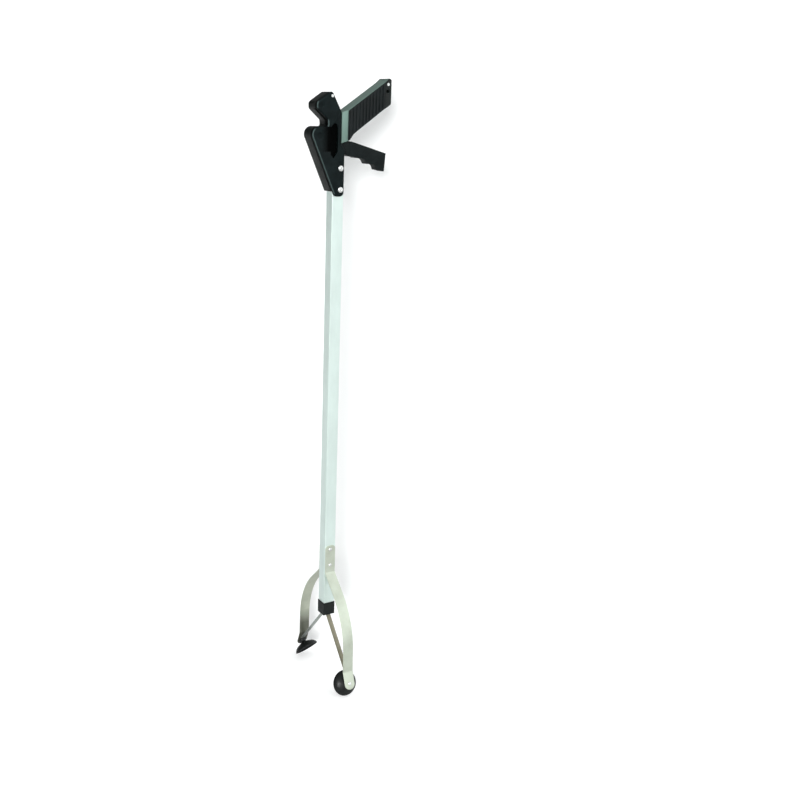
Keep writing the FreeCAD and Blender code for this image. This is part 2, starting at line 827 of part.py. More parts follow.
def front_cover_plate():
    body = new_body("front_cover_plate")
    outline = sketch_on(body, "XZ_Plane", "plate_outline", "plate_back")
    polygon(outline, HOUSING)
    pad(body, outline, "plate_thickness")
    for name, (index, radius) in ROUNDS.items():
        round_corners(body, "plate_" + name, [HOUSING[index]], radius)
    round_corners(body, "plate_foot", [HOUSING[0], HOUSING[10]], "foot_radius")
    soften_face(body, "plate_soft_edge", "plate_edge", "plate_back + plate_thickness")
    scoop = sketch_on(body, "XY_Plane", "scoop_section", "(scoop_top + scoop_bottom) / 2")
    face = "-(plate_back + plate_thickness)"
    polygon(scoop, [
        ("scoop_left", face + " - 0.01"),
        ("window_right - 2", face + " - 0.01"),
        ("window_right - 2", face + " + scoop_depth"),
        ("window_left", face + " + scoop_depth"),
        ("scoop_left", face),
    ])
    pocket(body, scoop, "scoop_top - scoop_bottom", midplane=True)
    window = sketch_on(body, "XZ_Plane", "window_outline", "plate_back + plate_thickness")
    polygon(window, [
        ("window_right", "window_bottom + 8"),
        ("window_right", "window_top - 5"),
        ("window_right - 2", "window_top - 1.5"),
        ("window_right - 5", "window_top"),
        ("window_left + 1.5", "window_top - 3"),
        ("window_left", "window_top - 6"),
        ("window_left", "window_bottom + 5"),
        ("window_left + 4", "window_bottom"),
    ])
    pocket(body, window, "plate_thickness - window_floor")
    dimples = sketch_on(body, "XZ_Plane", "plate_dimples", "plate_back + plate_thickness")
    circle(dimples, "pivot_x", "pivot_height", "dimple_radius")
    circle(dimples, "head_dimple_x", "head_dimple_height", "dimple_radius - 1")
    pocket(body, dimples, "dimple_depth")
    holes = sketch_on(body, "XZ_Plane", "plate_rivet_holes", "plate_back + plate_thickness")
    circle(holes, "housing_rivet_x", "housing_rivet_low", "housing_rivet / 2")
    circle(holes, "housing_rivet_x", "housing_rivet_low + housing_rivet_pitch", "housing_rivet / 2")
    circle(holes, "head_rivet_x", "head_rivet_height", "head_rivet / 2")
    pocket(body, holes, "plate_thickness")
    bore = sketch_on(body, "XZ_Plane", "plate_pivot_bore", "plate_back")
    circle(bore, "pivot_x", "pivot_height", "pivot_pin / 2")
    pocket(body, bore, "plate_thickness / 2", reverse=True)
    return keep(body)


def shell_cavity():
    """The hollow of the rear shell, one wall inside its outline."""
    body = new_body("rear_shell_cavity")
    inner = inset(SHELL, "shell_wall")
    cavity = sketch_on(body, "XZ_Plane", "cavity_outline", "shell_floor - housing_rear")
    polygon(cavity, inner)
    pad(body, cavity, "housing_rear + shell_front - shell_floor + 1")
    for name in ("shoulder", "head_peak", "head_left", "head_low", "lobe"):
        index, radius = ROUNDS[name]
        round_corners(body, "cavity_" + name, [inner[index]], radius + " - shell_wall")
    for name in ("neck", "notch"):
        index, radius = ROUNDS[name]
        round_corners(body, "cavity_" + name, [inner[index]], radius + " + shell_wall")
    return body


def rear_housing_shell():
    body = new_body("rear_shell_block")
    outline = sketch_on(body, "XZ_Plane", "shell_outline", "-housing_rear")
    polygon(outline, SHELL)
    pad(body, outline, "housing_rear + shell_front")
    for name, (index, radius) in ROUNDS.items():
        round_corners(body, "shell_" + name, [SHELL[index]], radius)
    channel = sketch_on(body, "XZ_Plane", "shell_tube_channel", "shell_front")
    rectangle(channel, "-tube_width / 2", "tube_width", "shell_bottom - 1", "tube_top + 2")
    pocket(body, channel, "tube_width / 2 + shell_front")
    mouth = sketch_on(body, "XZ_Plane", "shell_mouth", "shell_front")
    rectangle(mouth, "mouth_left", "tube_width", "tube_top + 2", "shoulder_height - 1")
    pocket(body, mouth, "housing_rear + shell_front - shell_floor")
    slot = sketch_on(body, "XZ_Plane", "shell_neck_slot", "shell_front")
    polygon(slot, [
        ("head_left - 1", "lobe_top - 0.1"),
        ("notch_right + 2.5 * shell_wall", "lobe_top - 0.1"),
        ("neck_left + 2.5 * shell_wall", "neck_height"),
        ("head_left + 2.5 * shell_wall", "head_low"),
        ("head_left - 1", "head_low"),
    ])
    pocket(body, slot, "shell_front - neck_slot_back")
    holes = sketch_on(body, "XZ_Plane", "shell_rivet_holes", "-housing_rear")
    circle(holes, "housing_rivet_x", "housing_rivet_low", "housing_rivet / 2")
    circle(holes, "housing_rivet_x", "housing_rivet_low + housing_rivet_pitch", "housing_rivet / 2")
    circle(holes, "head_rivet_x", "head_rivet_height", "head_rivet / 2")
    circle(holes, "pivot_x", "pivot_height", "pivot_pin / 2")
    pocket(body, holes, "housing_rear + shell_front", reverse=True)
    return keep(cut("rear_housing_shell", body, shell_cavity()))


def housing_rivets():
    rivets = []
    for side in SIDES:
        way = -1 if side == "front" else 1
        for step in (0, 1):
            name = "%s_housing_rivet_%d" % (side, step + 1)
            height = "housing_rivet_low + %d * housing_rivet_pitch" % step
            face = "(plate_back + plate_thickness)" if side == "front" else "housing_rear"
            inside = "(tube_width / 2 - tube_wall - 0.6)"
            shank = cylinder(name + "_shank", "housing_rivet / 2", "%s - %s" % (face, inside),
                             ("housing_rivet_x", "%d * %s" % (way, inside), height), side)
            head = cylinder(name + "_head", "housing_rivet_head / 2", "rivet_head_height",
                            ("housing_rivet_x", "%d * %s" % (way, face), height), side)
            rivets.append(fuse(name, [shank, head]))
    return keep(group("housing_rivets", rivets))


def head_rivet():
    front = "(plate_back + plate_thickness)"
    shank = cylinder("head_rivet_shank", "head_rivet / 2", front + " + housing_rear",
                     ("head_rivet_x", "housing_rear", "head_rivet_height"), "front")
    heads = []
    for side, way, face in (("front", "-1", front), ("rear", "1", "housing_rear")):
        heads.append(cylinder("head_rivet_%s_head" % side, "head_rivet * 0.6", "rivet_head_height / 2",
                              ("head_rivet_x", way + " * " + face, "head_rivet_height"), side))
    return keep(fuse("head_rivet", [shank] + heads))


def trigger_pivot_pin():
    length = "(housing_rear + plate_back + plate_thickness / 2)"
    pin = cylinder("trigger_pivot_pin", "pivot_pin / 2", length, ("pivot_x", "housing_rear", "pivot_height"), "front")
    pin.Label = "trigger_pivot_pin"
    return keep(pin)


# ---------------------------------------------------------------- trigger

def trigger_lever():
    body = new_body("trigger_lever")
    hub = sketch_on(body, "XZ_Plane", "lever_hub")
    circle(hub, "pivot_x", "pivot_height", "hub_radius")
    pad(body, hub, "2 * lever_out", midplane=True)
    arm = sketch_on(body, "XZ_Plane", "lever_arm")
    start = "finger_part_start"
    polygon(arm, [
        ("pivot_x", "pivot_height - hub_radius"),
        ("0", PIN_HEIGHT + " - 9"),
        (start + " + 2", "trigger_heel - 0.1"),
        (start + " + 2", "trigger_root_top - 0.8"),
        (start + " - 2", "trigger_root_top"),
        ("pivot_x + hub_radius + 2.5", "pivot_height + 0.4"),
        ("pivot_x", "pivot_height + hub_radius - 2"),
    ])
    pad(body, arm, "2 * lever_out", midplane=True)
    grip = sketch_on(body, "XZ_Plane", "lever_finger_part")
    outline = [
        (start, "trigger_heel"),
        ("finger_part_start + 6", "trigger_heel"),
        ("finger_part_start + 9.5", "trigger_heel - 1.6"),
        ("ridge_one - 6", "trigger_heel - 2.4"),
        ("ridge_one - 3.6", "trigger_heel - 4.4"),
        ("ridge_one - 1", "ridge_one_height"),
        ("ridge_one + 1.5", "ridge_one_height"),
        ("ridge_two - 5", "ridge_one_height - 0.5"),
        ("ridge_two - 2.4", "ridge_one_height - 3"),
        ("ridge_two - 0.6", "ridge_two_height"),
        ("ridge_two + 1.6", "ridge_two_height"),
        ("trigger_end - 5", "trigger_end_bottom + 0.4"),
        ("trigger_end - 4", "trigger_end_bottom"),
        ("trigger_end - 2.1", "trigger_end_bottom"),
        ("trigger_end", "trigger_end_top"),
        (start + " + 3", "trigger_root_top - 0.6"),
        (start, "trigger_root_top - 0.4"),
    ]
    polygon(grip, outline)
    pad(body, grip, "2 * finger_part_out", midplane=True)
    round_corners(body, "lever_ridges", [outline[5], outline[6], outline[9], outline[10]], "ridge_radius")
    round_corners(body, "lever_end", [outline[13], outline[14]], "ridge_radius")
    bore = sketch_on(body, "XZ_Plane", "lever_bore")
    circle(bore, "pivot_x", "pivot_height", "pivot_pin / 2 + pivot_play")
    pocket(body, bore, "3 * lever_out", midplane=True)
    slot = sketch_on(body, "XZ_Plane", "lever_pin_slot")
    rectangle(slot, "-rod_pin / 2 - 2.2", "rod_pin / 2 + 0.5", PIN_HEIGHT + " - rod_pin / 2 - 0.25",
              PIN_HEIGHT + " + rod_pin / 2 + 0.25")
    pocket(body, slot, "3 * lever_out", midplane=True)
    fork = sketch_on(body, "XZ_Plane", "lever_rod_fork")
    rectangle(fork, "-rod_eye / 2 - 4", "rod_eye / 2 + 4.5", PIN_HEIGHT + " - 14", PIN_HEIGHT + " + rod_eye / 2 + 1")
    pocket(body, fork, "rod_eye_thickness + 2 * rod_play + 0.6", midplane=True)
    return keep(body)


# ---------------------------------------------------------------- grip

GRIP_TOP = "(grip_knee_top + (grip_end_top - grip_knee_top) * (%s - grip_knee) / (grip_end - grip_knee))"
GRIP_LOW = "(grip_arch_bottom + (grip_end_bottom - grip_arch_bottom) * (%s - grip_arch) / (grip_end - grip_arch))"
GRIP = [
    ("grip_root", "grip_root_bottom"),
    ("grip_throat", "grip_throat_bottom"),
    ("grip_throat + 0.45 * (grip_arch - grip_throat)", "grip_throat_bottom + 0.6 * (grip_arch_bottom - grip_throat_bottom)"),
    ("grip_arch", "grip_arch_bottom"),
    ("grip_end", "grip_end_bottom"),
    ("channel_end - 1.4", "grip_end_bottom + 2.6"),
    ("channel_end", "grip_end_bottom + 5"),
    ("channel_end", GRIP_TOP % "channel_end"),
    ("grip_knee", "grip_knee_top"),
    ("grip_root", "grip_root_top"),
]


def grip_channel():
    body = new_body("grip_channel")
    outline = sketch_on(body, "XZ_Plane", "channel_outline")
    polygon(outline, GRIP)
    pad(body, outline, "2 * grip_out", midplane=True)
    hollow = sketch_on(body, "XZ_Plane", "channel_hollow")
    drop = "1.25 * grip_wall"
    polygon(hollow, [
        ("grip_root_block", "grip_root_bottom - 6"),
        ("channel_end + 1", "grip_root_bottom - 6"),
        ("channel_end + 1", GRIP_TOP % "(channel_end + 1)" + " - " + drop),
        ("grip_root_block", GRIP_TOP % "grip_root_block" + " - " + drop),
    ])
    pocket(body, hollow, "2 * (grip_out - grip_wall)", midplane=True)
    tongue = sketch_on(body, "XZ_Plane", "channel_tongue")
    polygon(tongue, [
        ("tongue_left", "grip_root_top - 14"),
        ("grip_root_block", "grip_root_top - 22"),
        ("grip_root_block", "grip_root_top - 3"),
        ("tongue_left", "grip_root_top - 3"),
    ])
    pad(body, tongue, "2 * tongue_out", midplane=True)
    slot = sketch_on(body, "XZ_Plane", "channel_root_slot")
    rectangle(slot, "tongue_left - 1", "grip_root_block + 1", "grip_root_bottom - 2", "grip_root_top - 4.5")
    pocket(body, slot, "2 * grip_root_slot", midplane=True)
    cap_holes(body, "channel_cap_holes")
    return keep(body)


def cap_holes(body, name):
    """The hanging hole and the end rivet's hole, right through."""
    holes = sketch_on(body, "XZ_Plane", name)
    circle(holes, "hang_hole_x", "hang_hole_height", "hang_hole / 2")
    circle(holes, "end_rivet_x", "end_rivet_height", "head_rivet / 2")
    pocket(body, holes, "4 * grip_out", midplane=True)


def grip_pad(side):
    body = new_body(side + "_grip_pad")
    base = "grip_out" if side == "front" else "-(grip_out + pad_thickness)"
    outline = sketch_on(body, "XZ_Plane", side + "_pad_outline", base)
    polygon(outline, [
        ("pad_start", "grip_throat_bottom - 0.2"),
        ("grip_throat", "grip_throat_bottom + pad_margin"),
        (GRIP[2][0], GRIP[2][1] + " + pad_margin"),
        ("grip_arch", "grip_arch_bottom + pad_margin"),
        ("grip_end", "grip_end_bottom + pad_margin"),
        ("grip_end", "grip_end_top - pad_margin"),
        ("pad_start", GRIP_TOP % "pad_start" + " - pad_margin"),
    ])
    pad(body, outline, "pad_thickness")
    return keep(body)


def grip_end_cap():
    """A cheek on each side of the channel, a flange over its end and a plug inside it."""
    body = new_body("grip_end_cap")
    outline = sketch_on(body, "XZ_Plane", "end_cap_outline")
    end = "(channel_end + end_cap_flange)"
    corners = [
        ("grip_end + 0.2", "grip_end_bottom + pad_margin"),
        ("channel_end - 1.2", "grip_end_bottom + 3"),
        (end, "grip_end_bottom + 6.5"),
        (end, GRIP_TOP % "channel_end" + " - 0.3"),
        ("channel_end", GRIP_TOP % "channel_end" + " + 0.6"),
        ("grip_end + 0.2", GRIP_TOP % "grip_end" + " - pad_margin"),
    ]
    polygon(outline, corners)
    pad(body, outline, "2 * (grip_out + pad_thickness)", midplane=True)
    round_corners(body, "end_cap_round", corners[2:4], "0.85 * end_cap_flange")
    seat = sketch_on(body, "XZ_Plane", "end_cap_seat")
    rectangle(seat, "grip_end - 1", "channel_end", "grip_end_bottom - 2", "grip_end_top + 8")
    pocket(body, seat, "2 * grip_out", midplane=True)
    plug = sketch_on(body, "XZ_Plane", "end_cap_plug_outline")
    reach = "(grip_end - end_cap_plug)"
    polygon(plug, [
        (reach, GRIP_LOW % reach + " + 6"),
        ("channel_end + 0.5", "grip_end_bottom + 10"),
        ("channel_end + 0.5", GRIP_TOP % "channel_end" + " - 1.25 * grip_wall - 0.2"),
        ("channel_end", GRIP_TOP % "channel_end" + " - 1.25 * grip_wall - 0.2"),
        (reach, GRIP_TOP % reach + " - 1.25 * grip_wall - 0.2"),
    ])
    pad(body, plug, "2 * (grip_out - grip_wall)", midplane=True)
    cap_holes(body, "end_cap_holes")
    return keep(body)


def grip_end_rivet():
    half = "(grip_out + pad_thickness)"
    shank = cylinder("end_rivet_shank", "head_rivet / 2", "2 * " + half, ("end_rivet_x", half, "end_rivet_height"), "front")
    heads = []
    for side, way in (("front", "-1"), ("rear", "1")):
        heads.append(cylinder("end_rivet_%s_head" % side, "head_rivet * 0.6", "rivet_head_height / 2",
                              ("end_rivet_x", way + " * " + half, "end_rivet_height"), side))
    return keep(fuse("grip_end_rivet", [shank] + heads))


# ---------------------------------------------------------------- build

shaft_tube()
nose_cap()
for each_side in SIDES:
    finger_tab(each_side)
    finger_blade(each_side)
    strap_foot(each_side)
    strap_link(each_side)
    upper_strap(each_side)
    cup_neck(each_side)
    suction_cup(each_side)
    cup_rivet(each_side)
tab_rivets()
strap_yoke()
pull_rod()
rod_pin()
rod_guide()
front_cover_plate()
rear_housing_shell()
housing_rivets()
head_rivet()
trigger_pivot_pin()
trigger_lever()
grip_channel()
for each_side in SIDES:
    grip_pad(each_side)
grip_end_cap()
grip_end_rivet()
doc.recompute()

for item in doc.Objects:
    if "Invalid" in item.State or "Error" in item.State:
        raise RuntimeError("%s failed: %s" % (item.Name, item.State))
for item in NODES:
    if item.Shape.isNull() or not item.Shape.isValid() or not item.Shape.Solids:
        raise RuntimeError("%s has no valid solid" % item.Label)

os.makedirs("parts", exist_ok=True)
for item in NODES:
    item.Shape.exportStep(os.path.join("parts", item.Label + ".step"))
    print("%-24s %9.1f mm3  %d solid" % (item.Label, item.Shape.Volume, len(item.Shape.Solids)))
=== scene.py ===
import math
import bmesh
import bpy
from mathutils import Matrix, Vector


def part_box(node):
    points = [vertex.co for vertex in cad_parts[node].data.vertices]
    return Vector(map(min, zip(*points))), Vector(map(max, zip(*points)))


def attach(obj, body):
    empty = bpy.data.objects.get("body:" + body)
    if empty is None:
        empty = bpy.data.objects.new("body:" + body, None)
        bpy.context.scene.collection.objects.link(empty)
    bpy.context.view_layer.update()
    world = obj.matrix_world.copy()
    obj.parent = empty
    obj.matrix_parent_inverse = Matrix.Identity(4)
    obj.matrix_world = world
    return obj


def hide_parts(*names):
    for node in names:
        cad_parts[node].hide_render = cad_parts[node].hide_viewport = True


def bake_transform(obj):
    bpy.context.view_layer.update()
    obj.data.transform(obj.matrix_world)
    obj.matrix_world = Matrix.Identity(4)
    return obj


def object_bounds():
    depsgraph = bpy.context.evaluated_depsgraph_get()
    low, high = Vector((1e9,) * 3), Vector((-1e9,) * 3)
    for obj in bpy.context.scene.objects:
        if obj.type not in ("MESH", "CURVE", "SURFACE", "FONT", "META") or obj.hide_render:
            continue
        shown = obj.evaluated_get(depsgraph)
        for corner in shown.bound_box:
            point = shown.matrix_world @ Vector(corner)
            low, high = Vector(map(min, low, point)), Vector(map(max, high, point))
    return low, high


# A reacher grabber: aluminium shaft and grip frame, black moulded housing, ribbed grip,
# spring-steel fingers and rubber suction cups.  Metres; +Z up the shaft, -Y the front.

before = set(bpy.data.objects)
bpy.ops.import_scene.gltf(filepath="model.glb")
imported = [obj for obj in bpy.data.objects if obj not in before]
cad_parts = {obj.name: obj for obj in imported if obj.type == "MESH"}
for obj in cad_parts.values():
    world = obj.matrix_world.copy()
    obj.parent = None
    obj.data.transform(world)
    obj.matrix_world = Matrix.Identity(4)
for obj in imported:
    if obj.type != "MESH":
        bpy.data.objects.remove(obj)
cad_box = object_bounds()
MM = 0.001
SIDES = {"front": -1, "rear": 1}


# ---------------------------------------------------------------- materials

class Finish:
    """A material built round one principled shader."""

    def __init__(self, name, colour, roughness, metallic=0.0, specular=0.5, coat=0.0, coat_roughness=0.2):
        self.material = bpy.data.materials.new(name)
        self.material.use_nodes = True
        self.nodes = self.material.node_tree.nodes
        self.links = self.material.node_tree.links
        self.shader = self.nodes["Principled BSDF"]
        self.set("Base Color", (*colour, 1))
        self.set("Roughness", roughness)
        self.set("Metallic", metallic)
        self.set("Specular IOR Level", specular)
        self.set("Coat Weight", coat)
        self.set("Coat Roughness", coat_roughness)

    def set(self, socket, value):
        self.shader.inputs[socket].default_value = value

    def add(self, kind, **settings):
        node = self.nodes.new(kind)
        for key, value in settings.items():
            if key in node.inputs:
                node.inputs[key].default_value = value
            else:
                setattr(node, key, value)
        return node

    def link(self, start, end):
        self.links.new(start, end)

    def place(self, scale=(1, 1, 1), source="Object"):
        """Coordinates for a pattern: the piece's own space, stretched by scale."""
        where = self.add("ShaderNodeTexCoord")
        stretch = self.add("ShaderNodeMapping")
        stretch.inputs["Scale"].default_value = scale
        self.link(where.outputs[source], stretch.inputs["Vector"])
        return stretch.outputs["Vector"]

    def noise(self, vector, scale, detail=3.0, roughness=0.55, distortion=0.0):
        node = self.add("ShaderNodeTexNoise")
        node.inputs["Scale"].default_value = scale
        node.inputs["Detail"].default_value = detail
        node.inputs["Roughness"].default_value = roughness
        node.inputs["Distortion"].default_value = distortion
        self.link(vector, node.inputs["Vector"])
        return node.outputs["Fac"]

    def spread(self, value, low, high, start=0.0, end=1.0):
        node = self.add("ShaderNodeMapRange")
        node.inputs["From Min"].default_value = start
        node.inputs["From Max"].default_value = end
        node.inputs["To Min"].default_value = low
        node.inputs["To Max"].default_value = high
        self.link(value, node.inputs["Value"])
        return node.outputs["Result"]

    def blend_colours(self, factor, first, second):
        node = self.add("ShaderNodeMix", data_type="RGBA")
        self.link(factor, node.inputs["Factor"])
        for socket, colour in ((node.inputs[6], first), (node.inputs[7], second)):
            if isinstance(colour, tuple):
                socket.default_value = (*colour, 1)
            else:
                self.link(colour, socket)
        return node.outputs[2]

    def bump(self, height, strength, distance, normal=None):
        node = self.add("ShaderNodeBump")
        node.inputs["Strength"].default_value = strength
        node.inputs["Distance"].default_value = distance
        self.link(height, node.inputs["Height"])
        if normal is not None:
            self.link(normal, node.inputs["Normal"])
        return node.outputs["Normal"]

    def feed(self, socket, value):
        self.link(value, self.shader.inputs[socket])


def anodised_aluminium(name, colour, grain, roughness):
    """Extruded aluminium: fine draw lines along the section and a satin, cloudy surface."""
    finish = Finish(name, colour, roughness, metallic=0.75)
    lines = finish.noise(finish.place(grain), 1.0, detail=2.0)
    clouds = finish.noise(finish.place((1, 1, 0.4)), 60.0, detail=4.0)
    darker = tuple(part * 0.93 for part in colour)
    finish.feed("Base Color", finish.blend_colours(finish.spread(clouds, 0, 1, 0.35, 0.65), darker, colour))
    finish.feed("Roughness", finish.spread(lines, roughness - 0.06, roughness + 0.08, 0.3, 0.7))
    finish.feed("Normal", finish.bump(lines, 0.12, 0.00005))
    return finish.material


def spring_steel(name, light, dark, toe=None):
    """Rolled strip: brushed along its length, a little warm; toe is the stretch by the cup where the steel is
    painted darker, a painted reflection of the black cup.
    """
    finish = Finish(name, light, 0.36, metallic=0.7)
    strip = finish.place((1, 60, 1), "UV")
    lines = finish.noise(strip, 60.0, detail=3.0)
    stains = finish.noise(finish.place(), 45.0, detail=5.0, roughness=0.6)
    warm = finish.blend_colours(finish.spread(stains, 0, 1, 0.38, 0.66), light, dark)
    if toe:
        # Painted reflection: along the toe the colour fades toward near black, standing in for the black cup
        # seen in the shiny steel.
        split = finish.add("ShaderNodeSeparateXYZ")
        finish.link(finish.place(source="UV"), split.inputs["Vector"])
        painted_cup_reflection = finish.spread(split.outputs["X"], 0, 0.75, *toe)
        warm = finish.blend_colours(painted_cup_reflection, warm, (0.06, 0.058, 0.045))
    finish.feed("Base Color", warm)
    finish.feed("Roughness", finish.spread(lines, 0.28, 0.44, 0.3, 0.7))
    finish.feed("Normal", finish.bump(lines, 0.15, 0.00004))
    return finish.material


def moulded_plastic(name, colour, grain=2600.0, roughness=0.48, specular=0.32, recess=None, painted_rim_highlight=None):
    """Black injection moulding: a fine spark-eroded grain and slight cloudiness.

    recess is the pair of places along Y between which a hollow's floor is painted dead black, painted shade
    for a deep pocket;
    the edge colour is a painted highlight laid on the edges that face left and out, where light from the left
    would catch them."""
    finish = Finish(name, colour, roughness, specular=specular)
    grain_height = finish.noise(finish.place(), grain, detail=2.0)
    clouds = finish.noise(finish.place(), 70.0, detail=4.0)
    lighter = tuple(part * 1.5 + 0.002 for part in colour)
    shade = finish.blend_colours(finish.spread(clouds, 0, 1, 0.4, 0.7), colour, lighter)
    # Painted shade: behind the plate's front along Y the colour fades to dead black and the specular almost
    # off, standing in for the shade deep in the pocket.
    if recess:
        split = finish.add("ShaderNodeSeparateXYZ")
        finish.link(finish.place(), split.inputs["Vector"])
        painted_recess_shade = finish.spread(split.outputs["Y"], 0, 1, *recess)
        shade = finish.blend_colours(painted_recess_shade, shade, (0.0004, 0.0006, 0.0006))
        finish.feed("Specular IOR Level", finish.spread(painted_recess_shade, specular, 0.02))
    # Painted highlight: faces whose normal leans left and out get a lighter edge colour, standing in for the
    # glint of the light from the left.
    if painted_rim_highlight:
        facing = finish.add("ShaderNodeNewGeometry")
        lean = finish.add("ShaderNodeVectorMath", operation="DOT_PRODUCT")
        finish.link(facing.outputs["Normal"], lean.inputs[0])
        lean.inputs[1].default_value = (-0.70, -0.70, 0.10)
        shade = finish.blend_colours(finish.spread(lean.outputs["Value"], 0, 1, 0.84, 0.93), shade, painted_rim_highlight)
    finish.feed("Base Color", shade)
    finish.feed("Roughness", finish.spread(clouds, roughness - 0.07, roughness + 0.07, 0.35, 0.65))
    finish.feed("Normal", finish.bump(grain_height, 0.16, 0.00006))
    return finish.material


def cup_rubber():
    """Smooth moulded rubber with a faint bloom."""
    finish = Finish("cup_rubber", (0.004, 0.005, 0.005), 0.34, specular=0.3)
    bloom = finish.noise(finish.place(), 130.0, detail=5.0, roughness=0.65)
    finish.feed("Base Color", finish.blend_colours(
        finish.spread(bloom, 0, 1, 0.45, 0.75), (0.0025, 0.0035, 0.0034), (0.0085, 0.0105, 0.0100)))
    finish.feed("Roughness", finish.spread(bloom, 0.30, 0.50, 0.35, 0.7))
    fine = finish.noise(finish.place(), 900.0, detail=2.0)
    finish.feed("Normal", finish.bump(fine, 0.08, 0.00005))
    return finish.material


def bright_fastener(name="bright_fastener", colour=(0.83, 0.84, 0.83), roughness=0.22):
    """Plated rivet metal with small scuffs."""
    finish = Finish(name, colour, roughness, metallic=1.0)
    scuffs = finish.noise(finish.place(), 900.0, detail=4.0)
    finish.feed("Roughness", finish.spread(scuffs, roughness - 0.05, roughness + 0.15, 0.35, 0.7))
    finish.feed("Base Color", finish.blend_colours(
        finish.spread(scuffs, 0, 1, 0.35, 0.7), colour, tuple(part * 0.8 for part in colour)))
    finish.feed("Normal", finish.bump(scuffs, 0.1, 0.00004))
    return finish.material


def natural_nylon():
    finish = Finish("natural_nylon", (0.55, 0.54, 0.50), 0.5, specular=0.4)
    clouds = finish.noise(finish.place(), 300.0, detail=4.0)
    finish.feed("Base Color", finish.blend_colours(clouds, (0.58, 0.57, 0.53), (0.48, 0.47, 0.43)))
    finish.feed("Normal", finish.bump(clouds, 0.1, 0.0001))
    return finish.material


SHAFT = anodised_aluminium("anodised_shaft", (0.80, 0.92, 0.875), (2200, 2200, 3), 0.36)
GRIP_FRAME = anodised_aluminium("grip_frame_aluminium", (0.20, 0.30, 0.26), (900, 60, 900), 0.42)
STEEL = spring_steel("spring_steel", (0.61, 0.66, 0.56), (0.52, 0.56, 0.465))
# The rear finger's steel is a darker copy of the same spring steel, painted shade; its toe also gets the
# painted reflection of the cup.
REAR_STEEL = spring_steel("rear_spring_steel", (0.55, 0.58, 0.48), (0.46, 0.49, 0.40), (0.146, 0.168))
# The two straps are one steel; the front one's darker, browner copy is painted shade.
STRAP_STEEL = {"front": spring_steel("front_strap_steel", (0.27, 0.25, 0.185), (0.20, 0.185, 0.135)),
               "rear": spring_steel("rear_strap_steel", (0.40, 0.43, 0.40), (0.33, 0.355, 0.33))}
HOUSING = moulded_plastic("housing_plastic", (0.0032, 0.0046, 0.0042), specular=0.24)
# The cover plate is a darker copy of the housing's black plastic, painted shade for its front faces; it also
# carries painted shade in its pocket and a painted highlight on its left edges.
PLATE = moulded_plastic("cover_plate_plastic", (0.0018, 0.0050, 0.0054), roughness=0.42, specular=0.11,
                        recess=(-0.0117, -0.0095), painted_rim_highlight=(0.055, 0.08, 0.078))
TRIGGER = moulded_plastic("trigger_plastic", (0.0030, 0.0055, 0.0058), roughness=0.5, specular=0.14)
GRIP_RUBBER = moulded_plastic("grip_rubber", (0.0042, 0.0066, 0.007), grain=1800.0, roughness=0.55,
                              specular=0.22)
CAP = moulded_plastic("cap_plastic", (0.0055, 0.0078, 0.0072), roughness=0.5, specular=0.25)
CUP = cup_rubber()
FASTENER = bright_fastener()
ROD_STEEL = bright_fastener("drawn_rod_steel", (0.55, 0.56, 0.55), 0.3)
NYLON = natural_nylon()

# Sizes in mm, as the frame's parts have them.
TUBE_WALL = 1.2
TUBE_BANDS = 40
FINGER_WIDTH, FINGER_THICKNESS = 15.0, 1.0
STRAP_WIDTH, STRAP_THICKNESS = 6.5, 0.7
HOUSING_FACE = 12.0
TAB_FACE = 8.95
TAB_RIVETS, TAB_RIVET_HEAD = (-581.5, -558.3), 5.2
HOUSING_RIVETS, HOUSING_RIVET_HEAD, HOUSING_RIVET_X = (-71.2, -44.9), 7.4, 1.4


# ---------------------------------------------------------------- making pieces

def closed(mesh, shape, sharp):
    """Write the shape into the mesh, faces outward; edges that turn more than sharp degrees stay sharp."""
    bmesh.ops.recalc_face_normals(shape, faces=shape.faces)
    shape.to_mesh(mesh)
    shape.free()
    mesh.shade_smooth()
    mesh.set_sharp_from_angle(angle=math.radians(sharp))
    return mesh


def closed_from_faces(mesh, points, faces, sharp):
    mesh.from_pydata(points, [], faces)
    shape = bmesh.new()
    shape.from_mesh(mesh)
    return closed(mesh, shape, sharp)


def place_in_scene(item):
    bpy.context.scene.collection.objects.link(item)
    return item


def band_faces(count, rows, rings):
    """The quads between rings of count points, for each of the rows; the last ring meets the first."""
    faces = []
    for row in range(rows):
        for index in range(count):
            following = (index + 1) % count
            a, b = row * count, ((row + 1) % rings) * count
            faces.append((a + index, a + following, b + following, b + index))
    return faces


def ring_of_points(shape, centre, side, other, radius, steps):
    """A ring of new vertices, or one vertex where the radius is nothing."""
    if radius < 1e-6:
        return [shape.verts.new(centre)]
    ring = []
    for step in range(steps):
        turn = 2 * math.pi * step / steps
        ring.append(shape.verts.new(centre + (side * math.cos(turn) + other * math.sin(turn)) * radius * MM))
    return ring


def join_rings(shape, rows, steps):
    for first, second in zip(rows, rows[1:]):
        for step in range(steps):
            following = (step + 1) % steps
            if len(first) == 1:
                shape.faces.new((first[0], second[following], second[step]))
            elif len(second) == 1:
                shape.faces.new((first[step], first[following], second[0]))
            else:
                shape.faces.new((first[step], first[following], second[following], second[step]))


def new_piece(name, mesh, material, body, stands_for=()):
    piece = place_in_scene(bpy.data.objects.new(name, mesh))
    mesh.materials.clear()
    mesh.materials.append(material)
    if body:
        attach(piece, body)
    if stands_for:
        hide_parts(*stands_for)
    return piece


def settle(piece):
    """Turn the piece's modifiers into plain mesh."""
    graph = bpy.context.evaluated_depsgraph_get()
    mesh = bpy.data.meshes.new_from_object(piece.evaluated_get(graph))
    piece.modifiers.clear()
    old = piece.data
    piece.data = mesh
    mesh.name = piece.name
    bpy.data.meshes.remove(old)


